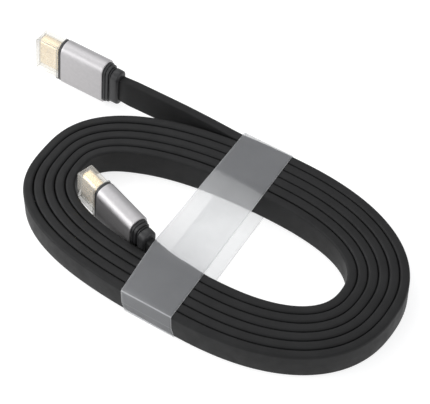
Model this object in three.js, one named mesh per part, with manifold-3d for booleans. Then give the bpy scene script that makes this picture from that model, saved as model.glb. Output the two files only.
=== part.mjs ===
// A flat display cable as it is sold: wound on edge into an oval coil, held by a clear wrap band,
// with a metal-sleeved plug and a clear dust cap on each end. Millimetres, +Z up, and the origin is
// at the middle of the footprint, on the surface that the coil stands on.
import * as THREE from 'three';
import { mergeVertices } from 'three/addons/utils/BufferGeometryUtils.js';
import Module from 'manifold-3d';

const wasm = await Module();
wasm.setup();

// ---- driving dimensions -------------------------------------------------------------------------
const GAP = 0.3;                 // between pieces that touch

// the flat cable and its winding; the winding's centre is where its two half-ovals meet
const CABLE_WIDTH = 11.8;
const CABLE_THICKNESS = 3.6;
const PITCH = 4.0;               // from one turn to the next
const COIL_HALF_WIDTH = 45.5;    // across the oval, to the outermost turn's outer face
const RIGHT_REACH = 68.3;        // along the oval, from the centre to the outermost turn
const LEFT_REACH = 89.2;
const RIGHT_CROWDING = 0.965;    // the turns lie a little closer round the ends
const LEFT_CROWDING = 0.96;
const RIGHT_SQUARENESS = 2.31;   // a superellipse's exponent
const LEFT_FRONT_SQUARENESS = 2.9;
const LEFT_BACK_SQUARENESS = 2.36; // of the outermost turn
const BACK_SLACKENING = 0.04;    // taken off with each turn inwards
const LAST_TURN = 5.5;           // turns wound, from the back round to the front
const LEAVE_X = -27.4;           // where the outer lead leaves the winding
const GROOVE_WIDTH = 0.6;
const GROOVE_DEPTH = 0.9;
const POINTS_PER_TURN = 44;

// the wrap band
const FILM = 0.4;
const BAND_WIDTH = 22.5;
const BAND_BEHIND_BOOT = 1.34;   // from the end of the inner plug's boot to the film's edge
const BAND_SLANT = 0.038;        // how far it runs along the oval for each millimetre across it
const BAND_CORNER = 0.3;
const BAND_RIDGE_INWARDS = 1.1;  // the inner lead lifts the film this far inside its own turn
const RIDGE_MARGIN = 0.7;
const BAND_LIFT_SLACK = 0.24;    // the film's edge stays this much under the boot's end
const BAND_LIFT_RIGHT = 0.7;

// one plug, along its own axis from the sleeve's rear face to the tip
const SLEEVE_LENGTH = 20.5;
const SLEEVE_WIDTH = 21.1;
const SLEEVE_THICKNESS = 8.6;
const SLEEVE_CORNER = 4.0;
const SLEEVE_WALL = 0.8;
const COLLAR_LENGTH = 1.1;
const COLLAR_INSET = 0.25;
// the boot's four steps: each one's length, and its insets from the sleeve's outline
const BOOT_FLANGE_LENGTH = 2.3;
const BOOT_FLANGE_IN_WIDTH = 0.7;
const BOOT_FLANGE_IN_THICKNESS = 0.5;
const BOOT_WAIST_LENGTH = 0.4;
const BOOT_WAIST_IN_WIDTH = 1.5;
const BOOT_WAIST_IN_THICKNESS = 1.0;
const BOOT_BLOCK_LENGTH = 3.4;
const BOOT_BLOCK_IN_WIDTH = 2.1;
const BOOT_END_LENGTH = 0.6;
const BOOT_END_IN_WIDTH = 2.7;
const BOOT_END_IN_THICKNESS = 1.5;
const BOOT_STEP_OVERLAP = 0.4;   // each step starts inside the one before
const SHELL_WIDTH = 13.9;
const SHELL_THICKNESS = 4.45;
const SHELL_BEVEL = 1.3;         // the slanted corners of one wide face
const SHELL_WALL = 0.4;
const SHELL_LENGTH = 10.1;
const SLOT_LENGTH = 2.6;         // latch windows in the wide faces
const SLOT_WIDTH = 1.7;
const SLOT_SPREAD = 3.0;
const SLOT_FROM_TIP = 5.2;
const INSULATOR_LENGTH = 8.8;
const TONGUE_SLOT_SIDE_WALL = 0.75;
const TONGUE_SLOT_HEIGHT = 1.5;
const CAP_WALL = 0.95;
const CAP_END_WALL = 0.8;
const CAP_BEVEL = 0.7;
const CAP_LIP = 0.6;
const CAP_LIP_LENGTH = 1.1;

// where the two plugs lie: the way the tip points, and how far the narrow side is off the surface
const OUTER_PLUG = { heading: 181.2, rise: 2, lean: 4, lift: 0.35 };
const INNER_PLUG = { heading: 163.6, rise: 4.6, lean: 1, lift: 0.2 };
const OUTER_PLUG_FROM_LEFT = -0.05;  // the sleeve's rear face, from the winding's left end
const OUTER_PLUG_FROM_BACK = 6.35;  // and from its back
const INNER_PLUG_FROM_FRONT = 0.6;  // the sleeve's rear corner, from the front turns inside the bore
const INNER_PLUG_FROM_LEFT = 1.1;  // the cap's nose, from the turns at the bore's left end

// the leads' routes from the winding to the plugs: the share of the way, then how far the cable
// bows backwards and upwards from the straight line
const OUTER_LEAD_BOWS = [
  [0.2275, 0.27, -0.29], [0.468, 0.38, -0.23], [0.7085, 0.17, -0.08], [0.875, 0.03, -0.03],
];
const INNER_LEAD_BOWS = [[0.3, -0.05, -0.9], [0.59, -0.24, -1.35], [0.805, -0.23, -0.93]];
const OUTER_LEAD_STRAIGHT = 3;      // the cable's straight ends, at the boot
const INNER_LEAD_STRAIGHT = 1.5;
const LEAD_START = 0.8;             // and where it leaves the winding
const LEAD_STEPS = 18;

// ---- worked out from them -----------------------------------------------------------------------
const COIL_BOTTOM = FILM + GAP;
const COIL_TOP = COIL_BOTTOM + CABLE_WIDTH;
const LEAD_HEIGHT = COIL_BOTTOM + CABLE_WIDTH / 2;
const COLLAR_FACE = SLEEVE_LENGTH + GAP + COLLAR_LENGTH;
const CONNECTOR_START = COLLAR_FACE + GAP;
const SPIGOT_WIDTH = SLEEVE_WIDTH - 2 * (SLEEVE_WALL + GAP);
const SPIGOT_THICKNESS = SLEEVE_THICKNESS - 2 * (SLEEVE_WALL + GAP);
const SPIGOT_CORNER = SLEEVE_CORNER - SLEEVE_WALL - GAP;
const RELIEF_END = -GAP - BOOT_FLANGE_LENGTH - BOOT_WAIST_LENGTH - BOOT_BLOCK_LENGTH - BOOT_END_LENGTH;
const CAP_END = CONNECTOR_START + SHELL_LENGTH + GAP + CAP_END_WALL;
const CAP_WIDTH = SHELL_WIDTH + 2 * (GAP + CAP_WALL);
const CAP_THICKNESS = SHELL_THICKNESS + 2 * (GAP + CAP_WALL);
// the bore left of the centre, whose face is the inner face of the innermost turn there
const BORE_DEPTH = Math.floor(LAST_TURN - 0.75) * PITCH + CABLE_THICKNESS;
const BORE_REACH = LEFT_REACH - BORE_DEPTH * LEFT_CROWDING;
const BORE_ACROSS = COIL_HALF_WIDTH - BORE_DEPTH - PITCH / 2;

// ---- materials ----------------------------------------------------------------------------------
const blackJacket = new THREE.MeshStandardMaterial({ color: 0x2b2b2c, roughness: 0.62 });
const blackMoulding = new THREE.MeshStandardMaterial({ color: 0x202022, roughness: 0.5 });
const greyAluminium = new THREE.MeshStandardMaterial({ color: 0xaaa6aa, roughness: 0.36, metalness: 1 });
const goldPlate = new THREE.MeshStandardMaterial({ color: 0xe6bd72, roughness: 0.25, metalness: 1 });
const insulatorPlastic = new THREE.MeshStandardMaterial({ color: 0x1d1d1f, roughness: 0.55 });
const clearPlastic = new THREE.MeshStandardMaterial({
  color: 0xf2f2ee, roughness: 0.12, transparent: true, opacity: 0.35,
});
const frostedFilm = new THREE.MeshStandardMaterial({
  color: 0xe6e8ec, roughness: 0.4, transparent: true, opacity: 0.5,
});

// ---- small tools --------------------------------------------------------------------------------
const UP = new THREE.Vector3(0, 0, 1);

function toSolid(geometry) {
  const bare = geometry.clone();
  bare.deleteAttribute('normal');
  bare.deleteAttribute('uv');
  const merged = mergeVertices(bare, 1e-4);
  return new wasm.Manifold(new wasm.Mesh({
    numProp: 3,
    vertProperties: new Float32Array(merged.attributes.position.array),
    triVerts: new Uint32Array(merged.index.array),
  }));
}

function toGeometry(solid) {
  const mesh = solid.getMesh();
  const geometry = new THREE.BufferGeometry();
  geometry.setAttribute('position', new THREE.BufferAttribute(mesh.vertProperties, 3));
  geometry.setIndex(new THREE.BufferAttribute(mesh.triVerts, 1));
  const faceted = geometry.toNonIndexed();
  faceted.computeVertexNormals();
  return faceted;
}

const join = (...parts) => toGeometry(parts.map(toSolid).reduce((whole, part) => whole.add(part)));
const cut = (body, ...tools) =>
  toGeometry(tools.map(toSolid).reduce((rest, tool) => rest.subtract(tool), toSolid(body)));

// A shape drawn in X and Y, as a solid between two heights.
function prism(shape, from, to) {
  const geometry = new THREE.ExtrudeGeometry(shape, {
    depth: to - from, bevelEnabled: false, curveSegments: 6,
  });
  return geometry.translate(0, 0, from);
}

function roundedRectangle(width, height, corner) {
  const x = width / 2, y = height / 2, r = Math.min(corner, x, y);
  const shape = new THREE.Shape();
  shape.moveTo(-x + r, -y);
  shape.absarc(x - r, -y + r, r, -Math.PI / 2, 0);
  shape.absarc(x - r, y - r, r, 0, Math.PI / 2);
  shape.absarc(-x + r, y - r, r, Math.PI / 2, Math.PI);
  shape.absarc(-x + r, -y + r, r, Math.PI, 1.5 * Math.PI);
  return shape;
}

function polygon(points) {
  return new THREE.Shape(points.map(([x, y]) => new THREE.Vector2(x, y)));
}

function piece(name, geometry, material) {
  const mesh = new THREE.Mesh(geometry, material);
  mesh.name = name;
  return mesh;
}

// ---- the winding --------------------------------------------------------------------------------
// A point of the winding seen from above. turn counts from 0 at the back, through 0.25 at the right
// end, 0.5 at the front and 0.75 at the left end; inset is how far inside the cable's outer face.
function windingPoint(turn, inset) {
  const whole = Math.floor(turn);
  const phase = 2 * Math.PI * (turn - whole);
  const depth = whole * PITCH + inset;
  const onRight = turn - whole < 0.5, onFront = turn - whole < 0.75;
  const reach = onRight ? RIGHT_REACH - depth * RIGHT_CROWDING : LEFT_REACH - depth * LEFT_CROWDING;
  const squareness = onRight ? RIGHT_SQUARENESS
    : onFront ? LEFT_FRONT_SQUARENESS : backSquareness(depth);
  const shift = onRight ? 0 : PITCH / 2;
  const power = 2 / squareness;
  const across = COIL_HALF_WIDTH - depth - shift;
  return new THREE.Vector2(
    (onRight ? 1 : -1) * reach * Math.abs(Math.sin(phase)) ** power,
    across * Math.sign(Math.cos(phase)) * Math.abs(Math.cos(phase)) ** power - shift,
  );
}

function backSquareness(depth) {
  return LEFT_BACK_SQUARENESS - BACK_SLACKENING * depth / PITCH;
}

// The turn at which the cable's outer face is at LEAVE_X, behind the centre.
function leavingTurn() {
  const reach = LEFT_REACH + PITCH * LEFT_CROWDING;
  return -Math.asin((-LEAVE_X / reach) ** (backSquareness(-PITCH) / 2)) / (2 * Math.PI);
}

const FIRST_TURN = leavingTurn();

// The bore's face at the front left: its y at an x, and its x at a y.
function boreFrontY(x) {
  return -BORE_ACROSS * superellipseShare(-x / BORE_REACH) - PITCH / 2;
}

function boreLeftX(y) {
  return -BORE_REACH * superellipseShare(-(y + PITCH / 2) / BORE_ACROSS);
}

function superellipseShare(other) {
  const n = LEFT_FRONT_SQUARENESS;
  return (1 - THREE.MathUtils.clamp(other, 0, 1) ** n) ** (1 / n);
}

function windingLine(from, to, inset) {
  const steps = Math.ceil((to - from) * POINTS_PER_TURN);
  return Array.from({ length: steps + 1 },
    (_, i) => windingPoint(from + (to - from) * i / steps, inset));
}

function cableCoil() {
  // the bore line runs the other way round than the outline, and each closes with a turn's end
  const outline = new THREE.Shape(windingLine(FIRST_TURN, FIRST_TURN + 1, 0));
  outline.holes.push(new THREE.Path(windingLine(LAST_TURN - 1, LAST_TURN, CABLE_THICKNESS).reverse()));
  const line = inset => windingLine(FIRST_TURN + 1 - 0.004, LAST_TURN + 0.004, inset);
  const half = GROOVE_WIDTH / 2, seam = -(PITCH - CABLE_THICKNESS) / 2;
  const groove = new THREE.Shape([...line(seam - half), ...line(seam + half).reverse()]);
  return piece('cable_coil', cut(
    prism(outline, COIL_BOTTOM, COIL_TOP),
    prism(groove, COIL_TOP - GROOVE_DEPTH, COIL_TOP + 1),
    prism(groove, COIL_BOTTOM - 1, COIL_BOTTOM + GROOVE_DEPTH),
  ), blackJacket);
}

// ---- where the plugs lie ------------------------------------------------------------------------
// The directions of a plug that stands on its narrow side: its tip, its width and its thickness.
function plugAxes({ heading, rise, lean }) {
  const [turn, up, roll] = [heading, rise, lean].map(THREE.MathUtils.degToRad);
  const tip = new THREE.Vector3(
    Math.cos(turn) * Math.cos(up), Math.sin(turn) * Math.cos(up), Math.sin(up));
  const side = new THREE.Vector3().crossVectors(tip, UP).normalize();
  const width = new THREE.Vector3().crossVectors(side, tip)
    .multiplyScalar(Math.cos(roll)).addScaledVector(side, Math.sin(roll));
  return { tip, width, thickness: new THREE.Vector3().crossVectors(tip, width) };
}

function settled(plug, x, y) {
  return { ...plug, ...plugAxes(plug), at: new THREE.Vector3(x, y, SLEEVE_WIDTH / 2 + plug.lift) };
}

function settledOuterPlug() {
  return settled(OUTER_PLUG,
    -LEFT_REACH + OUTER_PLUG_FROM_LEFT, COIL_HALF_WIDTH - OUTER_PLUG_FROM_BACK);
}

// The inner plug lies against the bore's face, with its sleeve's rear corner and its cap's nose.
function settledInnerPlug() {
  const { tip, thickness } = plugAxes(INNER_PLUG);
  const rear = thickness.clone().multiplyScalar(-SLEEVE_THICKNESS / 2);
  const nose = tip.clone().multiplyScalar(CAP_END).addScaledVector(thickness, -CAP_THICKNESS / 2);
  let x = -BORE_REACH / 2, y = -BORE_ACROSS / 2;
  for (let i = 0; i < 40; i++) {
    y = boreFrontY(x + rear.x) + INNER_PLUG_FROM_FRONT - rear.y;
    x = boreLeftX(y + nose.y) + INNER_PLUG_FROM_LEFT - nose.x;
  }
  return settled(INNER_PLUG, x, y);
}

const outerPlug = settledOuterPlug();
const innerPlug = settledInnerPlug();

// ---- the leads ----------------------------------------------------------------------------------
// The cable's section carried along a smooth line. It stands on its narrow side, and turns from
// upright at the winding to the plug's own lean.
function cableLead(name, route, plug) {
  const corner = CABLE_THICKNESS * 0.3;
  const x = CABLE_WIDTH / 2, y = CABLE_THICKNESS / 2;
  const section = [
    [-x + corner, -y], [x - corner, -y], [x, -y + corner], [x, y - corner],
    [x - corner, y], [-x + corner, y], [-x, y - corner], [-x, -y + corner],
  ];
  const path = new THREE.CatmullRomCurve3(route);
  const rings = Array.from({ length: LEAD_STEPS + 1 }, (_, i) => {
    const share = i / LEAD_STEPS, at = path.getPointAt(share), tip = path.getTangentAt(share);
    const side = new THREE.Vector3().crossVectors(tip, UP.clone().lerp(plug.width, share)).normalize();
    const width = new THREE.Vector3().crossVectors(side, tip);
    return section.map(([a, b]) => at.clone().addScaledVector(width, a).addScaledVector(side, b));
  });
  const count = section.length, triangles = [];
  const face = (...corners) => triangles.push(...corners.flatMap(corner => corner.toArray()));
  for (let i = 0; i < LEAD_STEPS; i++) {
    for (let j = 0; j < count; j++) {
      const k = (j + 1) % count;
      face(rings[i][j], rings[i + 1][k], rings[i + 1][j]);
      face(rings[i][j], rings[i][k], rings[i + 1][k]);
    }
  }
  for (let j = 1; j < count - 1; j++) {
    face(rings[0][0], rings[0][j + 1], rings[0][j]);
    face(rings[LEAD_STEPS][0], rings[LEAD_STEPS][j], rings[LEAD_STEPS][j + 1]);
  }
  const geometry = new THREE.BufferGeometry();
  geometry.setAttribute('position', new THREE.Float32BufferAttribute(triangles, 3));
  geometry.computeVertexNormals();
  return piece(name, geometry, blackJacket);
}

// The point on the cable's middle line at a distance behind its end in the boot.
function leadEnd(plug, behind) {
  return plug.at.clone().addScaledVector(plug.tip, RELIEF_END - GAP - behind);
}

function leadRoute(start, bows, plug, straight) {
  const end = leadEnd(plug, 0);
  const bowed = bows.map(([share, back, up]) =>
    start.clone().lerp(end, share).add(new THREE.Vector3(0, back, up)));
  return [start, start.clone().setX(start.x - LEAD_START), ...bowed, leadEnd(plug, straight), end];
}

function outerLead() {
  const middle = windingPoint(FIRST_TURN, CABLE_THICKNESS / 2);
  const start = new THREE.Vector3(LEAVE_X - GAP, middle.y, LEAD_HEIGHT);
  return cableLead('cable_lead_outer',
    leadRoute(start, OUTER_LEAD_BOWS, outerPlug, OUTER_LEAD_STRAIGHT), outerPlug);
}

function innerLead() {
  const middle = windingPoint(LAST_TURN, CABLE_THICKNESS / 2);
  const start = new THREE.Vector3(middle.x - GAP, middle.y, LEAD_HEIGHT);
  return cableLead('cable_lead_inner',
    leadRoute(start, INNER_LEAD_BOWS, innerPlug, INNER_LEAD_STRAIGHT), innerPlug);
}

// ---- the wrap band ------------------------------------------------------------------------------
// A film pulled tight round the turns. Across the oval it is straight between the corners and the
// inner lead, which stands highest.
const RIDGE_HALF_WIDTH = CABLE_THICKNESS / 2 + RIDGE_MARGIN;
const RIDGE_Y = windingPoint(LAST_TURN, CABLE_THICKNESS / 2).y + BAND_RIDGE_INWARDS;
const BAND_X = leadEnd(innerPlug, 0).x + BAND_BEHIND_BOOT + BAND_WIDTH / 2;
const BAND_LIFT_LEFT = leadEnd(innerPlug, 0).z - LEAD_HEIGHT - BAND_LIFT_SLACK;

function filmOutline(out) {
  const y = COIL_HALF_WIDTH + GAP + out, top = COIL_TOP + GAP + out, bottom = FILM - out;
  const r = BAND_CORNER, ridge = RIDGE_HALF_WIDTH;
  return polygon([
    [-y + r, bottom], [y - r, bottom], [y, bottom + r], [y, top - r], [y - r, top],
    [RIDGE_Y + ridge, top], [RIDGE_Y - ridge, top],
    [-y + r, top], [-y, top - r], [-y, bottom + r],
  ]);
}

function liftRidge(position) {
  for (let i = 0; i < position.count; i++) {
    const onRidge = Math.abs(position.getY(i) - RIDGE_Y) < RIDGE_HALF_WIDTH + 0.01;
    if (!onRidge || position.getZ(i) < COIL_TOP) continue;
    const lift = THREE.MathUtils.mapLinear(
      position.getX(i), -BAND_WIDTH / 2, BAND_WIDTH / 2, BAND_LIFT_LEFT, BAND_LIFT_RIGHT);
    position.setZ(i, position.getZ(i) + lift);
  }
}

function wrapBand() {
  const outline = filmOutline(FILM);
  outline.holes.push(new THREE.Path(filmOutline(0).getPoints().reverse()));
  // drawn in Y and Z, so the prism is stood up along X, and then slants a little
  const geometry = prism(outline, -BAND_WIDTH / 2, BAND_WIDTH / 2)
    .rotateX(Math.PI / 2).rotateZ(Math.PI / 2);
  liftRidge(geometry.attributes.position);
  geometry.applyMatrix4(new THREE.Matrix4().makeShear(0, 0, -BAND_SLANT, 0, 0, 0));
  geometry.computeVertexNormals();
  const band = piece('wrap_band', geometry, frostedFilm);
  band.position.x = BAND_X;
  return band;
}

// ---- a plug -------------------------------------------------------------------------------------
// In a plug's own frame X is its width, Y its thickness and Z points to the tip.
function sleeve() {
  const outline = roundedRectangle(SLEEVE_WIDTH, SLEEVE_THICKNESS, SLEEVE_CORNER);
  outline.holes.push(roundedRectangle(SLEEVE_WIDTH - 2 * SLEEVE_WALL,
    SLEEVE_THICKNESS - 2 * SLEEVE_WALL, SLEEVE_CORNER - SLEEVE_WALL));
  return prism(outline, 0, SLEEVE_LENGTH);
}

function insetSection(inWidth, inThickness) {
  return roundedRectangle(SLEEVE_WIDTH - 2 * inWidth, SLEEVE_THICKNESS - 2 * inThickness,
    SLEEVE_CORNER - Math.min(inWidth, inThickness));
}

const spigot = (from, to) =>
  prism(roundedRectangle(SPIGOT_WIDTH, SPIGOT_THICKNESS, SPIGOT_CORNER), from, to);

function frontCollar() {
  const plate = prism(insetSection(COLLAR_INSET, COLLAR_INSET), SLEEVE_LENGTH + GAP, COLLAR_FACE);
  return join(plate, spigot(SLEEVE_LENGTH / 2 + GAP, SLEEVE_LENGTH + GAP + 0.1));
}

function strainRelief() {
  const steps = [
    [BOOT_FLANGE_LENGTH, BOOT_FLANGE_IN_WIDTH, BOOT_FLANGE_IN_THICKNESS],
    [BOOT_WAIST_LENGTH, BOOT_WAIST_IN_WIDTH, BOOT_WAIST_IN_THICKNESS],
    [BOOT_BLOCK_LENGTH, BOOT_BLOCK_IN_WIDTH, BOOT_WAIST_IN_THICKNESS],
    [BOOT_END_LENGTH, BOOT_END_IN_WIDTH, BOOT_END_IN_THICKNESS],
  ];
  let front = -GAP;
  const blocks = steps.map(([length, inWidth, inThickness], i) => {
    const block = prism(insetSection(inWidth, inThickness),
      front - length, front + (i > 0 ? BOOT_STEP_OVERLAP : 0));
    front -= length;
    return block;
  });
  return join(...blocks, spigot(-GAP - 0.1, SLEEVE_LENGTH / 2));
}

// The connector's outline: a flat box with two slanted corners.
function connectorOutline(inset) {
  const x = SHELL_WIDTH / 2 - inset, y = SHELL_THICKNESS / 2 - inset, b = SHELL_BEVEL - inset * 0.4;
  return polygon([[-x + b, -y], [x - b, -y], [x, -y + b], [x, y], [-x, y], [-x, -y + b]]);
}

function connectorShell() {
  const outline = connectorOutline(0);
  outline.holes.push(new THREE.Path(connectorOutline(SHELL_WALL).getPoints().reverse()));
  const tip = CONNECTOR_START + SHELL_LENGTH;
  const slots = [-1, 1].map(side => new THREE.BoxGeometry(
    SLOT_WIDTH, SHELL_THICKNESS + 2, SLOT_LENGTH,
  ).translate(side * SLOT_SPREAD, 0, tip - SLOT_FROM_TIP));
  return cut(prism(outline, CONNECTOR_START, tip), ...slots);
}

function insulator() {
  const outline = connectorOutline(SHELL_WALL + GAP);
  const slotWidth = SHELL_WIDTH - 2 * (SHELL_WALL + GAP + TONGUE_SLOT_SIDE_WALL);
  outline.holes.push(roundedRectangle(slotWidth, TONGUE_SLOT_HEIGHT, 0.2));
  return prism(outline, CONNECTOR_START, CONNECTOR_START + INSULATOR_LENGTH);
}

// The cap's wide face has bevelled front corners, so it is drawn in X and Z.
function dustCap() {
  const width = CAP_WIDTH, thickness = CAP_THICKNESS, start = CONNECTOR_START, end = CAP_END;
  const cavityEnd = end - CAP_END_WALL, x = width / 2, b = CAP_BEVEL;
  const body = prism(polygon([
    [-x, start], [x, start], [x, end - b], [x - b, end], [-x + b, end], [-x, end - b],
  ]), -thickness / 2, thickness / 2).rotateX(Math.PI / 2);
  const lip = prism(roundedRectangle(width + 2 * CAP_LIP, thickness + 2 * CAP_LIP, 0.8),
    start, start + CAP_LIP_LENGTH);
  const cavity = prism(roundedRectangle(width - 2 * CAP_WALL, thickness - 2 * CAP_WALL, 0.2),
    start - 1, cavityEnd);
  return toGeometry(toSolid(body).add(toSolid(lip)).subtract(toSolid(cavity)));
}

function plug(name, place) {
  const group = new THREE.Group();
  group.add(
    piece(`${name}_sleeve`, sleeve(), greyAluminium),
    piece(`${name}_front_collar`, frontCollar(), blackMoulding),
    piece(`${name}_strain_relief`, strainRelief(), blackMoulding),
    piece(`${name}_connector_shell`, connectorShell(), goldPlate),
    piece(`${name}_insulator`, insulator(), insulatorPlastic),
    piece(`${name}_dust_cap`, dustCap(), clearPlastic),
  );
  group.position.copy(place.at);
  group.quaternion.setFromRotationMatrix(
    new THREE.Matrix4().makeBasis(place.width, place.thickness, place.tip));
  return group;
}

// ---- the object ---------------------------------------------------------------------------------
const winding = new THREE.Group();
winding.add(
  cableCoil(), outerLead(), innerLead(), wrapBand(),
  plug('outer_plug', outerPlug), plug('inner_plug', innerPlug),
);

// the origin goes to the middle of the footprint
const box = new THREE.Box3().setFromObject(winding, true);
const middle = box.getCenter(new THREE.Vector3());
winding.position.set(-middle.x, -middle.y, -box.min.z);

const group = new THREE.Group();
group.add(winding);

export default group;
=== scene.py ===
"""A flat display cable, wound on edge into an oval coil and held by a frosted wrap band, with a
metal-sleeved plug and a clear dust cap on each end. Dimensions are in millimetres until a mesh is
made, in the winding's own frame: X along the oval, Y across it, Z up from the surface."""
import math

import bmesh
import bpy
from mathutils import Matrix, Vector, noise


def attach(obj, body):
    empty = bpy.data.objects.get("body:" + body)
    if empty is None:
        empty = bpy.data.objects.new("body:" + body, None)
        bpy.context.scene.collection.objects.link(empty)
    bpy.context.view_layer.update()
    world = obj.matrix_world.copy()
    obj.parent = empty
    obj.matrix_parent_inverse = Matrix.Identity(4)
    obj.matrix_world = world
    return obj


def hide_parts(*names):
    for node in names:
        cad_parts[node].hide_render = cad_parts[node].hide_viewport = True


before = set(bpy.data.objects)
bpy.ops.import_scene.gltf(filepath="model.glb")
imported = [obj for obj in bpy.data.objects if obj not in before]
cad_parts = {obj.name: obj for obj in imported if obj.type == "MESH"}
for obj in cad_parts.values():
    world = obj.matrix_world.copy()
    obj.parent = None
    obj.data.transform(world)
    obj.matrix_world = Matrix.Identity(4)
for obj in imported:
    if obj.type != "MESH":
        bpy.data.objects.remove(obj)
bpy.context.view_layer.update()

MM = 0.001
WINDING = Vector((27.368, 0.0, 0.0))  # where the winding's centre is in the row frame
UP = Vector((0, 0, 1))

# ---- the winding, as in the part's source -------------------------------------------------------
CABLE_WIDTH = 11.8
CABLE_THICKNESS = 3.6
CABLE_CORNER = 1.05
CABLE_BULGE = 0.12  # how far each side fills the gap to the next turn
RING_SPACING = 1.6  # between the sections of the cable's mesh
PITCH = 4.0
COIL_HALF_WIDTH = 45.5
RIGHT_REACH = 68.3
LEFT_REACH = 89.2
RIGHT_CROWDING = 0.965
LEFT_CROWDING = 0.96
RIGHT_SQUARENESS = 2.31
LEFT_FRONT_SQUARENESS = 2.9
LEFT_BACK_SQUARENESS = 2.36
BACK_SLACKENING = 0.04
LAST_TURN = 5.5
LEAVE_X = -27.4
OUTER_PLUG = {"at": (-89.25, 39.15, 10.9), "heading": 181.2, "rise": 2, "lean": 4}
INNER_PLUG = {"at": (-32.868, -20.125, 10.75), "heading": 163.6, "rise": 4.6, "lean": 1}
OUTER_LEAD_ROUTE = [
    (-75.174, 39.753, 10.11), (-66.14, 40.452, 9.386), (-53.092, 41.471, 8.263),
    (-40.043, 42.169, 7.23),
]
INNER_LEAD_ROUTE = [(-7.976, -23.294, 6.769), (-15.397, -23.043, 7.353), (-20.898, -22.706, 8.539)]
BOOT_END = -7.0

# ---- the plug -----------------------------------------------------------------------------------
SLEEVE_LENGTH = 20.5
SLEEVE_WIDTH = 21.1
SLEEVE_THICKNESS = 8.6
SLEEVE_CORNER = 4.0
SLEEVE_WALL = 0.8
SIDE_CROWN = 2 / 2.2  # 1 would make the narrow sides elliptic
COLLAR_FACE = 21.9
SHELL_START = 22.2
SHELL_WIDTH = 13.9
SHELL_THICKNESS = 4.45
SHELL_LENGTH = 10.1
SHELL_WALL = 0.4
SHELL_BEVEL = 1.3
INSULATOR_LENGTH = 8.8
CAP_WIDTH = 16.4
CAP_THICKNESS = 6.95
CAP_END = 33.4
CAP_WALL = 0.95
CAP_END_WALL = 0.8
CAP_BEVEL = 0.7
CAP_LIP = 0.6
CAP_LIP_LENGTH = 1.1
CAP_EDGE_ROWS = (1, 2, 8, 12, 15)  # the rings of the cap's mesh that are rounded edges

# ---- the wrap band ------------------------------------------------------------------------------
BAND_WIDTH = 22.5
BAND_X = -13.3
BAND_SLANT = 0.038
RIDGE_Y = -22.6
FILM = 0.12


# ---- the camera ---------------------------------------------------------------------------------
def make_camera():
    azimuth, elevation, distance = math.radians(33.2), math.radians(51.0), 717.5
    target = Vector((5.331, 17.20, 0.2))
    back = Vector((math.sin(azimuth) * math.cos(elevation),
                   -math.cos(azimuth) * math.cos(elevation), math.sin(elevation)))
    data = bpy.data.cameras.new("camera")
    data.sensor_width, data.lens = 36.0, 151.7
    data.clip_start, data.clip_end = 0.02, 20.0
    camera = bpy.data.objects.new("camera", data)
    camera.location = (target + back * distance) * MM
    camera.rotation_mode = "QUATERNION"
    camera.rotation_quaternion = (-back).to_track_quat("-Z", "Y")
    bpy.context.scene.collection.objects.link(camera)
    bpy.context.scene.camera = camera


make_camera()
bpy.context.scene.view_settings.view_transform = "Standard"


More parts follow.
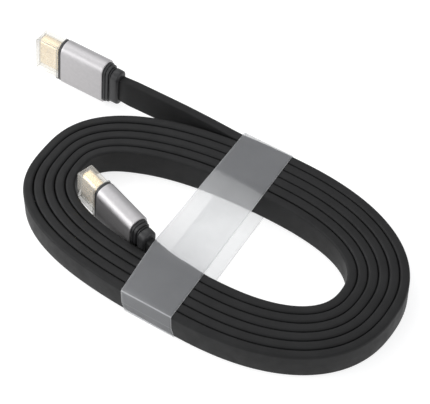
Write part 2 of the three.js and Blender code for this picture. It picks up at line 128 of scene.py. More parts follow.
# ---- materials ----------------------------------------------------------------------------------
class Look:
    """A material's nodes, made with short calls."""

    def __init__(self, name, **values):
        self.material = bpy.data.materials.new(name)
        self.material.use_nodes = True
        self.tree = self.material.node_tree
        self.shader = self.tree.nodes["Principled BSDF"]
        self.output = self.tree.nodes["Material Output"]
        for key, value in values.items():
            self.shader.inputs[key.replace("_", " ")].default_value = value

    def node(self, kind, **values):
        made = self.tree.nodes.new(kind)
        for key, value in values.items():
            if hasattr(made, key):
                setattr(made, key, value)
            else:
                made.inputs[key.replace("_", " ")].default_value = value
        return made

    def link(self, source, target):
        self.tree.links.new(source, target)

    def place(self, scale, uv=False):
        """Coordinates, in metres, times scale along each axis."""
        coords = self.node("ShaderNodeTexCoord")
        mapping = self.node("ShaderNodeMapping")
        mapping.inputs["Scale"].default_value = scale
        self.link(coords.outputs["UV" if uv else "Object"], mapping.inputs["Vector"])
        return mapping.outputs["Vector"]

    def part_of_place(self, axis, uv=False):
        """One coordinate, in metres or along the UV."""
        made = self.node("ShaderNodeSeparateXYZ")
        self.link(self.place((1, 1, 1), uv), made.inputs["Vector"])
        return made.outputs[axis]

    def noise(self, scale, detail=3.0, uv=False):
        made = self.node("ShaderNodeTexNoise", Scale=1.0, Detail=detail, Roughness=0.55)
        self.link(self.place(scale, uv), made.inputs["Vector"])
        return made.outputs["Fac"]

    def spread(self, source, low, high, start=0.3, end=0.7):
        """source between start and end, as a number between low and high."""
        made = self.node("ShaderNodeMapRange")
        for key, value in {"From Min": start, "From Max": end, "To Min": low, "To Max": high}.items():
            made.inputs[key].default_value = value
        self.link(source, made.inputs["Value"])
        return made.outputs["Result"]

    def tint(self, source, low, high):
        """A colour between low and high, by source."""
        made = self.node("ShaderNodeMix", data_type="RGBA")
        first, second = [s for s in made.inputs if s.type == "RGBA"]
        first.default_value, second.default_value = (*low, 1), (*high, 1)
        self.link(source, made.inputs["Factor"])
        return [s for s in made.outputs if s.type == "RGBA"][0]

    def bump(self, source, distance, strength=1.0, before=None):
        made = self.node("ShaderNodeBump", Strength=strength, Distance=distance)
        self.link(source, made.inputs["Height"])
        if before is not None:
            self.link(before, made.inputs["Normal"])
        return made.outputs["Normal"]

    def combine(self, operation, one, other):
        """MAXIMUM or MINIMUM of two numbers."""
        made = self.node("ShaderNodeMath", operation=operation)
        self.link(one, made.inputs[0])
        self.link(other, made.inputs[1])
        return made.outputs["Value"]

    def mixed(self, share, clear_colour, shader):
        """The surface is clear, but for that share of the shader."""
        clear, both = self.node("ShaderNodeBsdfTransparent"), self.node("ShaderNodeMixShader")
        clear.inputs["Color"].default_value = clear_colour
        self.link(share, both.inputs["Fac"])
        self.link(clear.outputs["BSDF"], both.inputs[1])
        self.link(shader, both.inputs[2])
        self.link(both.outputs["Shader"], self.output.inputs["Surface"])

    def colour(self, source):
        self.link(source, self.shader.inputs["Base Color"])

    def roughness(self, source):
        self.link(source, self.shader.inputs["Roughness"])

    def normal(self, source):
        self.link(source, self.shader.inputs["Normal"])


def jacket_look():
    """Matt black PVC: a fine grain, faint lines along the extrusion and a little dust."""
    look = Look("cable_jacket", Specular_IOR_Level=0.18)
    dust = look.noise((90, 90, 90), 4.0)
    look.colour(look.tint(look.spread(dust, 0, 1),
                          (0.0105, 0.0105, 0.0107), (0.0145, 0.0145, 0.0148)))
    look.roughness(look.spread(look.noise((260, 260, 260), 3.0), 0.50, 0.62))
    lines = look.noise((14, 2600, 1), 2.0, uv=True)
    grain = look.noise((5200, 5200, 5200), 2.0)
    look.normal(look.bump(grain, 0.00003, 0.45, look.bump(lines, 0.00003, 0.45)))
    return look.material


def moulding_look():
    """Black moulded plastic with a fine spark-eroded grain."""
    look = Look("black_moulding", Specular_IOR_Level=0.4)
    cloud = look.noise((500, 500, 500), 3.0)
    look.colour(look.tint(look.spread(cloud, 0, 1), (0.013, 0.013, 0.014), (0.020, 0.020, 0.021)))
    look.roughness(look.spread(cloud, 0.36, 0.50))
    look.normal(look.bump(look.noise((7000, 7000, 7000), 2.0), 0.00003, 0.6))
    return look.material


def aluminium_look():
    """Bead-blasted aluminium, anodised grey."""
    look = Look("aluminium_sleeve", Metallic=1.0)
    cloud = look.noise((700, 700, 700), 4.0)
    look.colour(look.tint(look.spread(cloud, 0, 1), (0.420, 0.409, 0.414), (0.465, 0.454, 0.459)))
    look.roughness(look.spread(cloud, 0.44, 0.50))
    look.normal(look.bump(look.noise((9000, 9000, 9000), 2.0), 0.00002, 0.5))
    return look.material


def gold_look():
    """Bright gold plating with faint clouds in its polish."""
    look = Look("gold_plate", Metallic=1.0)
    cloud = look.noise((900, 900, 900), 3.0)
    look.colour(look.tint(look.spread(cloud, 0, 1), (0.92, 0.74, 0.47), (0.97, 0.81, 0.56)))
    look.roughness(look.spread(cloud, 0.18, 0.28))
    look.normal(look.bump(look.noise((4000, 4000, 4000), 2.0), 0.00001, 0.4))
    return look.material


def insulator_look():
    """Matt black insulating plastic."""
    look = Look("insulator", Specular_IOR_Level=0.45)
    cloud = look.noise((900, 900, 900), 3.0)
    look.colour(look.tint(look.spread(cloud, 0, 1), (0.022, 0.022, 0.024), (0.035, 0.035, 0.037)))
    look.roughness(look.spread(cloud, 0.45, 0.58))
    return look.material


def clear_look():
    """Clear moulded plastic with a faint milkiness, stronger where a wall is seen edge on. Its
    rounded edges carry painted shade: they are painted a darker grey and made less clear.
    """
    look = Look("clear_plastic", Specular_IOR_Level=0.8)
    swirl = look.noise((220, 220, 220), 2.0)
    look.roughness(look.spread(swirl, 0.07, 0.12))
    look.normal(look.bump(swirl, 0.00004, 0.35))
    # painted shade: the cap's rounded edges are painted dark grey and less clear, standing in for the
    # refraction at a clear edge
    edge = look.part_of_place("X", uv=True)
    look.colour(look.tint(look.spread(edge, 0, 1, 0.2, 0.9),
                          (0.80, 0.765, 0.70), (0.30, 0.30, 0.29)))
    facing = look.node("ShaderNodeLayerWeight", Blend=0.5)
    share = look.combine("MAXIMUM", look.spread(facing.outputs["Facing"], 0.17, 0.50, 0.30, 0.95),
                         look.spread(edge, 0, 0.60, 0.1, 0.8))
    look.mixed(share, (0.955, 0.955, 0.945, 1), look.shader.outputs["BSDF"])
    return look.material


def film_look():
    """Frosted film: part of the light goes straight through, and the rest is scattered both ways.
    Its two cut edges, its front fold and the crease below the fold are painted highlights: there the
    film is painted less clear, so it looks brighter."""
    look = Look("frosted_film", Specular_IOR_Level=0.4, Roughness=0.30)
    cloud = look.noise((60, 60, 60), 3.0)
    look.colour(look.tint(look.spread(cloud, 0, 1), (0.78, 0.79, 0.82), (0.82, 0.83, 0.86)))
    look.normal(look.bump(look.noise((160, 60, 160), 2.0), 0.0002, 0.2))
    through = look.node("ShaderNodeBsdfTranslucent")
    through.inputs["Color"].default_value = (0.80, 0.805, 0.80, 1)
    scatter = look.node("ShaderNodeMixShader")
    scatter.inputs["Fac"].default_value = 0.70
    look.link(look.shader.outputs["BSDF"], scatter.inputs[1])
    look.link(through.outputs["BSDF"], scatter.inputs[2])
    across = look.part_of_place("X", uv=True)
    y, z = look.part_of_place("Y"), look.part_of_place("Z")
    # painted highlight: a thin line along each cut edge is painted less clear
    edges = look.combine("MAXIMUM", look.spread(across, 0.75, 0, 0.0, 0.014),
                         look.spread(across, 0, 0.75, 0.986, 1.0))
    # painted highlight: the fold and the crease on the front face are painted less clear
    on_front = look.spread(y, 1, 0, -0.04555, -0.04525)
    fold = look.spread(z, 0, 0.72, 0.01165, 0.0120)
    crease = look.combine("MINIMUM", look.spread(z, 0, 0.55, 0.0048, 0.0052),
                          look.spread(z, 0.55, 0, 0.0052, 0.0056))
    painted_fold_and_crease_highlight = look.combine("MINIMUM", look.combine("MAXIMUM", fold, crease), on_front)
    cloudy = look.spread(cloud, 0.315, 0.345)
    share = look.combine("MAXIMUM", cloudy, look.combine("MAXIMUM", edges, painted_fold_and_crease_highlight))
    look.mixed(share, (1, 1, 1, 1), scatter.outputs["Shader"])
    return look.material


JACKET, MOULDING, ALUMINIUM, GOLD = jacket_look(), moulding_look(), aluminium_look(), gold_look()
INSULATOR, CLEAR, FROSTED = insulator_look(), clear_look(), film_look()


# ---- small tools --------------------------------------------------------------------------------
def add_piece(name, mesh, material, body, replaced, smooth_angle):
    """A piece of the object, with smooth shading where its faces meet at less than smooth_angle."""
    obj = bpy.data.objects.new(name, mesh)
    bpy.context.scene.collection.objects.link(obj)
    mesh.materials.append(material)
    mesh.shade_smooth()
    mesh.set_sharp_from_angle(angle=math.radians(smooth_angle))
    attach(obj, body)
    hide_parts(*replaced)
    return obj


def mesh_of(points, faces, name):
    """A mesh from points in millimetres, with its faces pointing outwards."""
    mesh = bpy.data.meshes.new(name)
    mesh.from_pydata([tuple(p * MM) for p in points], [], faces)
    bm = bmesh.new()
    bm.from_mesh(mesh)
    bmesh.ops.recalc_face_normals(bm, faces=bm.faces)
    bm.to_mesh(mesh)
    bm.free()
    return mesh


def loft(rings, closed_ends=True, closed_loop=False):
    """Points and faces of a skin over rings that have the same number of points."""
    count, points, faces = len(rings[0]), [], []
    for ring in rings:
        points.extend(ring)
    pairs = [(i, i + 1) for i in range(len(rings) - 1)]
    if closed_loop:
        pairs.append((len(rings) - 1, 0))
    for a, b in pairs:
        for j in range(count):
            k = (j + 1) % count
            faces.append((a * count + j, a * count + k, b * count + k, b * count + j))
    if closed_ends and not closed_loop:
        faces.append(tuple(range(count)))
        last = (len(rings) - 1) * count
        faces.append(tuple(last + j for j in range(count)))
    return points, faces


def rounded_rectangle(half_x, half_y, corner, steps=8):
    """Points in X and Y, anticlockwise. Each corner has steps + 1 points."""
    corner = min(corner, half_x, half_y)
    points = []
    for cx, cy, start in ((half_x, -half_y, -90), (half_x, half_y, 0),
                          (-half_x, half_y, 90), (-half_x, -half_y, 180)):
        centre = Vector((cx - math.copysign(corner, cx), cy - math.copysign(corner, cy)))
        for i in range(steps + 1):
            angle = math.radians(start + 90 * i / steps)
            points.append(centre + corner * Vector((math.cos(angle), math.sin(angle))))
    return points


def at_height(ring, z):
    return [Vector((p[0], p[1], z)) for p in ring]


# ---- the cable ----------------------------------------------------------------------------------
def back_squareness(depth):
    return LEFT_BACK_SQUARENESS - BACK_SLACKENING * depth / PITCH


def winding_point(turn, inset):
    """As in the part's source: turn 0 is at the back, 0.25 at the right end, 0.5 at the front."""
    whole = math.floor(turn)
    phase = 2 * math.pi * (turn - whole)
    depth = whole * PITCH + inset
    right, front = turn - whole < 0.5, turn - whole < 0.75
    reach = RIGHT_REACH - depth * RIGHT_CROWDING if right else LEFT_REACH - depth * LEFT_CROWDING
    squareness = (RIGHT_SQUARENESS if right else
                  LEFT_FRONT_SQUARENESS if front else back_squareness(depth))
    shift = 0 if right else PITCH / 2
    power = 2 / squareness
    across = COIL_HALF_WIDTH - depth - shift
    x = (1 if right else -1) * reach * abs(math.sin(phase)) ** power
    y = across * math.copysign(abs(math.cos(phase)) ** power, math.cos(phase)) - shift
    return Vector((x, y, 0.0))


def leaving_turn():
    reach = LEFT_REACH + PITCH * LEFT_CROWDING
    share = (-LEAVE_X / reach) ** (back_squareness(-PITCH) / 2)
    return -math.asin(share) / (2 * math.pi)


def plug_axes(plug):
    """The directions of a plug that stands on its narrow side: its width, thickness and tip."""
    turn, up, roll = (math.radians(plug[key]) for key in ("heading", "rise", "lean"))
    tip = Vector((math.cos(turn) * math.cos(up), math.sin(turn) * math.cos(up), math.sin(up)))
    side = tip.cross(UP).normalized()
    width = side.cross(tip) * math.cos(roll) + side * math.sin(roll)
    return width, tip.cross(width), tip


def on_axis(plug, along):
    return Vector(plug["at"]) + plug_axes(plug)[2] * along


def smooth_step(share):
    share = min(max(share, 0.0), 1.0)
    return share * share * (3 - 2 * share)


def settled_height(point, turn):
    """The cable's middle height: it lies on the film, and settles onto the surface beside it."""
    beside = abs(point.x - BAND_X + BAND_SLANT * point.y) - BAND_WIDTH / 2
    settle = smooth_step((beside - 2) / 30)
    unevenness = noise.noise(Vector((turn * 1.9, 3.1, 0.4))) * 0.16 * settle
    return CABLE_WIDTH / 2 + 0.32 - 0.20 * settle + abs(unevenness)


def centripetal(points, per_span):
    """A smooth line through points, which may be unevenly spaced."""
    padded = [2 * points[0] - points[1], *points, 2 * points[-1] - points[-2]]
    line = []
    for i in range(1, len(padded) - 2):
        p0, p1, p2, p3 = padded[i - 1:i + 3]
        d0, d1, d2 = (max((b - a).length, 1e-6) ** 0.5 for a, b in ((p0, p1), (p1, p2), (p2, p3)))
        m1 = ((p1 - p0) / d0 - (p2 - p0) / (d0 + d1) + (p2 - p1) / d1) * d1
        m2 = ((p2 - p1) / d1 - (p3 - p1) / (d1 + d2) + (p3 - p2) / d2) * d1
        for k in range(per_span):
            t = k / per_span
            line.append(p1 * (2 * t ** 3 - 3 * t ** 2 + 1) + m1 * (t ** 3 - 2 * t ** 2 + t)
                        + p2 * (3 * t ** 2 - 2 * t ** 3) + m2 * (t ** 3 - t ** 2))
    line.append(points[-1])
    return line


def evenly(points, spacing):
    """The same line with points at even distances."""
    lengths = [0.0]
    for a, b in zip(points, points[1:]):
        lengths.append(lengths[-1] + (b - a).length)
    count = round(lengths[-1] / spacing)
    made, j = [], 0
    for i in range(count + 1):
        wanted = lengths[-1] * i / count
        while j < len(points) - 2 and lengths[j + 1] < wanted:
            j += 1
        share = (wanted - lengths[j]) / max(lengths[j + 1] - lengths[j], 1e-9)
        made.append(points[j].lerp(points[j + 1], share))
    return made, lengths[-1]


def cable_route():
    """From inside the outer plug's boot, round the winding, to inside the inner plug's boot: the
    points, how far the cable leans outwards at each of them, and the length."""
    first = leaving_turn()
    steps = round((LAST_TURN - first) * 60)
    coil = []
    for i in range(steps + 1):
        turn = first + (LAST_TURN - first) * i / steps
        point = winding_point(turn, CABLE_THICKNESS / 2)
        point.z = settled_height(point, turn)
        coil.append(point)
    outer = [on_axis(OUTER_PLUG, along) for along in (BOOT_END + 2, BOOT_END - 0.3, BOOT_END - 3.3)]
    inner = [on_axis(INNER_PLUG, along) for along in (BOOT_END - 1.8, BOOT_END - 0.3, BOOT_END + 2)]
    route = (outer + [Vector(p) for p in OUTER_LEAD_ROUTE] + coil
             + [Vector(p) for p in INNER_LEAD_ROUTE] + inner)
    made, length = evenly(centripetal(route, 8), RING_SPACING)
    last_round = []
    for i in range(1001):
        turn = LAST_TURN - 1 + i / 1000
        last_round.append((winding_point(turn, CABLE_THICKNESS / 2), innermost_lean(turn)))
    leans = []
    for point in made:
        distance, lean = min(((point.xy - there.xy).length, lean) for there, lean in last_round)
        leans.append(lean if distance < PITCH / 2 - 0.5 else 0.0)
    return made, leans, length


def cable_section():
    """The cable's section: thickness in X, width in Y, with rounded edges."""
    return rounded_rectangle(CABLE_THICKNESS / 2 + CABLE_BULGE, CABLE_WIDTH / 2, CABLE_CORNER, 5)


def innermost_lean(turn):
    """Degrees that the innermost turn leans outwards at the back, where nothing holds it."""
    return 7.0 * smooth_step((turn - 4.77) / 0.1) * (1 - smooth_step((turn - 5.0) / 0.17))


def lead_lean(from_outer):
    """Degrees that the outer lead leans back, beyond the plug's own lean."""
    return 8.0 * smooth_step(from_outer / 9) * (1 - smooth_step((from_outer - 28) / 46))


def make_cable():
    route, leans, length = cable_route()
    section = cable_section()
    outer_width, inner_width = plug_axes(OUTER_PLUG)[0], plug_axes(INNER_PLUG)[0]
    rings, count = [], len(route)
    for i, point in enumerate(route):
        tip = (route[min(i + 1, count - 1)] - route[max(i - 1, 0)]).normalized()
        from_outer, from_inner = i * RING_SPACING, (count - 1 - i) * RING_SPACING
        up = UP.lerp(outer_width, 1 - smooth_step(from_outer / 50))
        up = up.lerp(inner_width, 1 - smooth_step(from_inner / 24))
        inwards, turned = tip.cross(UP).normalized(), math.radians(leans[i])
        up = up - inwards * math.tan(turned + math.radians(lead_lean(from_outer)))
        point = point + inwards * CABLE_WIDTH / 2 * math.sin(turned)
        side = tip.cross(up).normalized()
        width = side.cross(tip)
        rings.append([point + WINDING + side * p.x + width * p.y for p in section])
    points, faces = loft(rings)
    mesh = mesh_of(points, faces, "cable")
    unwrap_along(mesh, len(section), RING_SPACING * MM, (CABLE_WIDTH + CABLE_THICKNESS) * 2 * MM)
    cable = add_piece("cable", mesh, JACKET, "cable",
                      ["cable_coil", "cable_lead_outer", "cable_lead_inner"], smooth_angle=60)
    return cable, [(p + WINDING) * MM for p in route], length


def unwrap_along(mesh, count, step, around):
    """UV in metres: along the cable, and round its section."""
    layer = mesh.uv_layers.new(name="along")
    for face in mesh.polygons:
        spots = [divmod(mesh.loops[k].vertex_index, count) for k in face.loop_indices]
        seam = {j for _, j in spots} == {0, count - 1}
        for k, (i, j) in zip(face.loop_indices, spots):
            v = count if seam and j == 0 else j
            layer.data[k].uv = (i * step, v / count * around)


# ---- the wrap band ------------------------------------------------------------------------------
def film_profile(lift):
    """The film's middle line in Y and Z, once round the coil, from the front below."""
    y, low, high = COIL_HALF_WIDTH + 0.22, FILM / 2 + 0.03, CABLE_WIDTH + 0.42
    ridge = CABLE_THICKNESS / 2 - 0.4
    corners = [
        ((-y, low), 0.5), ((y - 0.04, low), 0.5), ((y - 0.04, high), 0.55),
        ((RIDGE_Y + ridge, high + lift), 1.2), ((RIDGE_Y - ridge, high + lift), 1.2),
        ((-y, high), 0.55),
    ]
    line = []
    for i, (corner, radius) in enumerate(corners):
        here = Vector(corner)
        before = (Vector(corners[i - 1][0]) - here).normalized()
        after = (Vector(corners[(i + 1) % len(corners)][0]) - here).normalized()
        for k in range(7):
            t = k / 6
            line.append((here + before * radius) * (1 - t) ** 2
                        + here * 2 * t * (1 - t) + (here + after * radius) * t * t)
        following = Vector(corners[(i + 1) % len(corners)][0])
        start, end = here + after * radius, following - after * corners[(i + 1) % len(corners)][1]
        pieces = max(1, round((end - start).length / 2.2))
        line.extend(start.lerp(end, k / pieces) for k in range(1, pieces))
    return line


def make_band():
    """The film, as a mesh of 20 strips side by side, thickened. It rises over the inner lead."""
    steps = 20
    columns = []
    for i in range(steps + 1):
        across = -BAND_WIDTH / 2 + BAND_WIDTH * i / steps
        lift = 3.95 * (1 - i / steps) ** 1.15
        column = []
        for p in film_profile(lift):
            below = smooth_step((6 - p.y) / 6)
            x = BAND_X - BAND_SLANT * p.x + across + 1.1 * below
            column.append(Vector((x, p.x, p.y)) + film_waver(x, p))
        columns.append(column)
    count = len(columns[0])
    points = [p + WINDING for column in columns for p in column]
    faces = []
    for i in range(steps):
        for j in range(count):
            k = (j + 1) % count
            faces.append((i * count + j, i * count + k, (i + 1) * count + k, (i + 1) * count + j))
    mesh = mesh_of(points, faces, "band")
    layer = mesh.uv_layers.new(name="across")
    for face in mesh.polygons:
        for k in face.loop_indices:
            i, j = divmod(mesh.loops[k].vertex_index, count)
            layer.data[k].uv = (i / steps, j / count)
    band = add_piece("wrap_film", mesh, FROSTED, "cable", ["wrap_band"], 50)
    thickness = band.modifiers.new("thickness", "SOLIDIFY")
    thickness.thickness, thickness.offset = FILM * MM, 0
    apply_modifiers(band)


def film_waver(x, p):
    """Slight waves where the film spans the bore, and a crease along its front face."""
    on_top = p.y > 8 and abs(p.x) < COIL_HALF_WIDTH - 1
    in_bore = smooth_step((22 - abs(p.x)) / 12) if on_top else 0.0
    lift = noise.noise(Vector((x * 0.09, p.x * 0.05, 1.7))) * 0.35 * in_bore
    front = p.x < -COIL_HALF_WIDTH and 1 < p.y < 11
    crease = math.exp(-((p.y - 5.2) / 0.8) ** 2) * 0.12 if front else 0.0
    return Vector((0, -crease * 0.6, lift))


def apply_modifiers(obj):
    depsgraph = bpy.context.evaluated_depsgraph_get()
    mesh = bpy.data.meshes.new_from_object(obj.evaluated_get(depsgraph))
    old = obj.data
    obj.modifiers.clear()
    obj.data = mesh
    bpy.data.meshes.remove(old)


# ---- a plug -------------------------------------------------------------------------------------
# In a plug's own frame X is its width, Y its thickness and Z points to the tip.
def placed(plug, points):
    width, thickness, tip = plug_axes(plug)
    origin = Vector(plug["at"]) + WINDING
    return [origin + width * p[0] + thickness * p[1] + tip * p[2] for p in points]


def outline(in_width, in_thickness, steps=8):
    """The sleeve's outline, less insets: flat wide sides, and narrow sides that are crowned."""
    half_x, half_y = SLEEVE_WIDTH / 2 - in_width, SLEEVE_THICKNESS / 2 - in_thickness
    depth, height = SLEEVE_CORNER + 0.2 - min(in_width, in_thickness), half_y - 0.12
    points = []
    for quarter, (sx, sy) in enumerate(((1, -1), (1, 1), (-1, 1), (-1, -1))):
        for i in range(steps + 1):
            angle = math.radians(90 * i / steps)
            across, up = math.sin(angle) ** SIDE_CROWN, math.cos(angle) ** SIDE_CROWN
            if quarter % 2:
                across, up = up, across
            points.append(Vector((sx * (half_x - depth + depth * across),
                                  sy * (half_y - height + height * up))))
    return points


def sleeve_shape():
    edge, wall, end = 0.22, SLEEVE_WALL, SLEEVE_LENGTH
    stations = [
        (edge, 0.0), (edge * 0.3, edge * 0.3), (0.0, edge), (0.0, edge + 0.3),
        (0.0, end - edge - 0.3), (0.0, end - edge), (edge * 0.3, end - edge * 0.3), (edge, end),
        (wall, end), (wall, end - 0.2), (wall, 0.2), (wall, 0.0),
    ]
    rings = [at_height(outline(inset, inset, 12), z) for inset, z in stations]
    return loft(rings, closed_loop=True)


def collar_shape():
    inset = 0.22
    stations = [
        (1.2, SLEEVE_LENGTH - 1.0), (1.2, SLEEVE_LENGTH - 0.05), (inset, SLEEVE_LENGTH + 0.02),
        (inset, COLLAR_FACE - 0.25), (inset + 0.08, COLLAR_FACE - 0.08),
        (inset + 0.25, COLLAR_FACE), (2.0, COLLAR_FACE),
    ]
    return loft([at_height(outline(i, i), z) for i, z in stations])


def boot_shape():
    """The stepped boot: each step has a rounded rear edge."""
    steps = [  # inset in width and thickness, where the step ends, and its rear edge's radius
        (0.75, 0.55, -1.15, 0.28), (1.15, 0.85, -2.45, 0.28), (1.9, 1.45, -3.1, 0.15),
        (2.1, 1.0, BOOT_END, 0.95),
    ]
    stations, z = [(1.2, 1.2, 1.0), (0.9, 0.9, 0.02)], 0.0
    for in_width, in_thickness, end, r in steps:
        stations += [(in_width + r * 0.35, in_thickness + r * 0.35, z),
                     (in_width, in_thickness, z - r * 0.5)]
        for k in range(5):
            angle = math.radians(90 * k / 4)
            stations.append((in_width + r * (1 - math.cos(angle)),
                             in_thickness + r * (1 - math.cos(angle)),
                             end + r * (1 - math.sin(angle))))
        z = end
    return loft([at_height(outline(w, t), z) for w, t, z in stations])


def connector_outline(inset):
    """The connector's outline, with two slanted corners and every corner rounded."""
    x, y = SHELL_WIDTH / 2 - inset, SHELL_THICKNESS / 2 - inset
    b = SHELL_BEVEL - inset * 0.4
    corners = [(-x + b, -y), (x - b, -y), (x, -y + b), (x, y), (-x, y), (-x, -y + b)]
    radius = max(0.45 - inset * 0.5, 0.12)
    points = []
    for i, corner in enumerate(corners):
        here = Vector(corner)
        before = (Vector(corners[i - 1]) - here).normalized()
        after = (Vector(corners[(i + 1) % 6]) - here).normalized()
        for k in range(5):
            t = k / 4
            points.append((here + before * radius) * (1 - t) ** 2
                          + here * 2 * t * (1 - t) + (here + after * radius) * t * t)
    return points


def shell_shape():
    tip = SHELL_START + SHELL_LENGTH
    stations = [
        (0.0, SHELL_START - 0.35), (0.0, SHELL_START + 0.3), (0.0, tip - 0.9), (0.03, tip - 0.5),
        (0.1, tip - 0.15), (0.2, tip), (0.34, tip - 0.02), (SHELL_WALL, tip - 0.15),
        (SHELL_WALL, SHELL_START - 0.35),
    ]
    return loft([at_height(connector_outline(i), z) for i, z in stations], closed_loop=True)


def box_shape(x0, x1, y0, y1, z0, z1):
    points = [Vector((x, y, z)) for z in (z0, z1) for y in (y0, y1) for x in (x0, x1)]
    faces = [(0, 2, 3, 1), (4, 5, 7, 6), (0, 1, 5, 4), (2, 6, 7, 3), (0, 4, 6, 2), (1, 3, 7, 5)]
    return points, faces


def cut_boxes(obj, plug, boxes):
    """Cuts boxes, given in the plug's frame, out of a piece."""
    for box in boxes:
        points, faces = box_shape(*box)
        tool = bpy.data.objects.new("tool", mesh_of(placed(plug, points), faces, "tool"))
        bpy.context.scene.collection.objects.link(tool)
        cutter = obj.modifiers.new("cut", "BOOLEAN")
        cutter.operation, cutter.solver, cutter.object = "DIFFERENCE", "EXACT", tool
        apply_modifiers(obj)
        bpy.data.objects.remove(tool)


def insulator_shape():
    start, end = SHELL_START - 0.2, SHELL_START + INSULATOR_LENGTH
    inset = SHELL_WALL + 0.06
    stations = [
        (inset, start), (inset, end - 0.25), (inset + 0.08, end - 0.06), (inset + 0.25, end),
    ]
    return loft([at_height(connector_outline(i), z) for i, z in stations])


def contact_shapes():
    """Nineteen contact strips on the two faces of the socket slot, half a millimetre apart, and the
    tongues in the latch windows."""
    boxes, tip = [], SHELL_START + SHELL_LENGTH
    start, end = SHELL_START + 1.2, SHELL_START + INSULATOR_LENGTH - 0.6
    for i in range(19):
        x = (i - 9) * 0.5
        side = 1 if i % 2 == 0 else -1
        y0, y1 = sorted((side * 0.74, side * 0.5))
        boxes.append((x - 0.14, x + 0.14, y0, y1, start, end))
    top = SHELL_THICKNESS / 2 - 0.1
    for side in (-1, 1):
        for x in (-3.0, 3.0):
            y0, y1 = sorted((side * top, side * (top - 0.2)))
            boxes.append((x - 0.78, x + 0.78, y0, y1, tip - 6.6, tip - 4.0))
    points, faces = [], []
    for box in boxes:
        p, f = box_shape(*box)
        faces += [tuple(k + len(points) for k in face) for face in f]
        points += p
    return points, faces


def cap_shape():
    """The clear cap: slightly bevelled nose corners, a lip round its open end, and a cavity."""
    start, end, cavity_end = SHELL_START - 0.22, CAP_END, CAP_END - CAP_END_WALL
    hx, hy = CAP_WIDTH / 2, CAP_THICKNESS / 2
    outside = [  # half width, half thickness, corner, z
        (hx + CAP_LIP - 0.15, hy + CAP_LIP - 0.15, 0.9, start),
        (hx + CAP_LIP, hy + CAP_LIP, 1.0, start + 0.2),
        (hx + CAP_LIP, hy + CAP_LIP, 1.0, start + CAP_LIP_LENGTH - 0.25),
        (hx + CAP_LIP - 0.2, hy + CAP_LIP - 0.2, 0.9, start + CAP_LIP_LENGTH),
        (hx + 0.12, hy + 0.12, 0.55, start + CAP_LIP_LENGTH + 0.08),
        (hx, hy, 0.5, start + CAP_LIP_LENGTH + 0.3),
        (hx, hy, 0.5, end - CAP_BEVEL - 0.15),
        (hx - 0.12, hy, 0.5, end - CAP_BEVEL + 0.12),
        (hx - CAP_BEVEL + 0.35, hy - 0.02, 0.5, end - 0.35),
        (hx - CAP_BEVEL - 0.02, hy - 0.12, 0.45, end - 0.08),
        (hx - CAP_BEVEL - 0.3, hy - 0.35, 0.4, end),
    ]
    inside = [
        (hx - CAP_WALL - 0.5, hy - CAP_WALL - 0.4, 0.3, cavity_end),
        (hx - CAP_WALL - 0.1, hy - CAP_WALL - 0.1, 0.35, cavity_end - 0.12),
        (hx - CAP_WALL, hy - CAP_WALL, 0.35, cavity_end - 0.45),
        (hx - CAP_WALL, hy - CAP_WALL, 0.35, start + 0.3),
        (hx - CAP_WALL + 0.1, hy - CAP_WALL + 0.1, 0.4, start),
    ]
    rings = [at_height(rounded_rectangle(x, y, r, 5), z) for x, y, r, z in outside]
    points, faces = loft(rings, closed_ends=False)
    count, last = len(rings[0]), (len(rings) - 1) * len(rings[0])
    faces.append(tuple(last + j for j in range(count)))
    inner_rings = [at_height(rounded_rectangle(x, y, r, 5), z) for x, y, r, z in inside]
    base = len(points)
    inner_points, inner_faces = loft(inner_rings, closed_ends=False)
    points += inner_points
    faces += [tuple(base + k for k in face) for face in inner_faces]
    faces.append(tuple(base + j for j in range(count)))
    rim = base + (len(inner_rings) - 1) * count
    for j in range(count):
        k = (j + 1) % count
        faces.append((j, k, rim + k, rim + j))
    return points, faces


def mark_edge_shade(mesh):
    """UV: 1 in the middle of each rounded edge of the cap, 0 on its flat faces; it places the cap's
    painted edge shade.
    """
    steps, layer = 5, mesh.uv_layers.new(name="edges")
    ring = 4 * (steps + 1)
    for face in mesh.polygons:
        for k in face.loop_indices:
            row, place = divmod(mesh.loops[k].vertex_index, ring)
            along = math.sin(math.pi * (place % (steps + 1)) / steps)
            on_edge = 1.0 if row in CAP_EDGE_ROWS else 0.0
            layer.data[k].uv = (max(along, on_edge), 0.0)


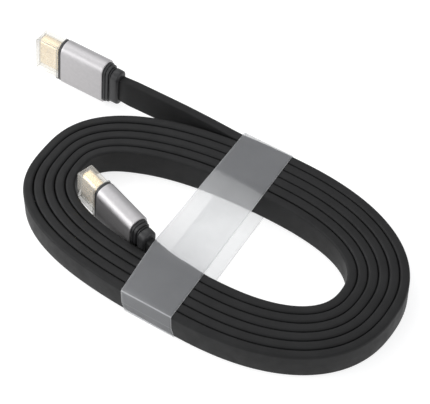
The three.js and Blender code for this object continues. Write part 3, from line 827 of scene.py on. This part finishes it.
def make_plug(name, plug, cap_body):
    """All pieces of one plug, with latch windows in its shell and a slot in its contact block."""
    def piece(part, shape, material, body="cable", replaced=None, angle=35):
        points, faces = shape
        mesh = mesh_of(placed(plug, points), faces, f"{name}_{part}")
        if part == "clear_cap":
            mark_edge_shade(mesh)
        nodes = [f"{name}_{replaced}"] if replaced else []
        return add_piece(f"{name}_{part}", mesh, material, body, nodes, angle)

    tip = SHELL_START + SHELL_LENGTH
    pieces = [
        piece("barrel", sleeve_shape(), ALUMINIUM, replaced="sleeve"),
        piece("front_rim", collar_shape(), MOULDING, replaced="front_collar"),
        piece("boot", boot_shape(), MOULDING, replaced="strain_relief"),
        piece("gold_shell", shell_shape(), GOLD, replaced="connector_shell"),
        piece("contact_block", insulator_shape(), INSULATOR, replaced="insulator"),
        piece("contacts", contact_shapes(), GOLD),
        piece("clear_cap", cap_shape(), CLEAR, cap_body, "dust_cap", 30),
    ]
    windows = [(s * 3.0 - 0.85, s * 3.0 + 0.85, -4, 4, tip - 6.5, tip - 3.9) for s in (-1, 1)]
    cut_boxes(pieces[3], plug, windows)
    start = SHELL_START + 0.6
    cut_boxes(pieces[4], plug, [(-5.5, 5.5, -0.75, 0.75, start, tip)])
    return pieces


# ---- making it ----------------------------------------------------------------------------------
cable, cable_path, cable_length = make_cable()
make_band()
make_plug("outer_plug", OUTER_PLUG, "outer_dust_cap")
inner_pieces = make_plug("inner_plug", INNER_PLUG, "cable")


# ---- the surface and the light ------------------------------------------------------------------
def make_floor():
    mesh = bpy.data.meshes.new("floor")
    size = 3.0
    mesh.from_pydata([(-size, -size, 0), (size, -size, 0), (size, size, 0), (-size, size, 0)], [],
                     [(0, 1, 2, 3)])
    floor = bpy.data.objects.new("floor", mesh)
    bpy.context.scene.collection.objects.link(floor)
    look = Look("floor", Roughness=0.9, Specular_IOR_Level=0.1)
    look.shader.inputs["Base Color"].default_value = (0.42, 0.42, 0.42, 1)
    look.shader.inputs["Emission Color"].default_value = (1, 1, 1, 1)
    look.shader.inputs["Emission Strength"].default_value = 0.72
    mesh.materials.append(look.material)


def add_light(name, azimuth, elevation, distance, size, power):
    """A soft light that faces the coil, from a direction as the camera's is given."""
    a, e = math.radians(azimuth), math.radians(elevation)
    back = Vector((math.sin(a) * math.cos(e), -math.cos(a) * math.cos(e), math.sin(e)))
    data = bpy.data.lights.new(name, "AREA")
    data.shape, data.size, data.size_y, data.energy = "RECTANGLE", size[0], size[1], power
    light = bpy.data.objects.new(name, data)
    light.location = back * distance
    light.rotation_mode = "QUATERNION"
    light.rotation_quaternion = (-back).to_track_quat("-Z", "Y")
    bpy.context.scene.collection.objects.link(light)


def make_light():
    world = bpy.data.worlds.new("studio")
    world.use_nodes = True
    background = world.node_tree.nodes["Background"]
    background.inputs["Color"].default_value = (0.97, 0.98, 1.0, 1)
    background.inputs["Strength"].default_value = 0.74
    bpy.context.scene.world = world
    add_light("front left", 330, 28, 1.2, (1.1, 0.9), 3.4)
    add_light("left", 295, 25, 0.7, (0.6, 0.4), 2.4)
    add_light("back left", 248, 48, 0.7, (0.6, 0.6), 1.7)
    add_light("right", 95, 14, 1.2, (0.9, 0.4), 2.8)


make_floor()
make_light()
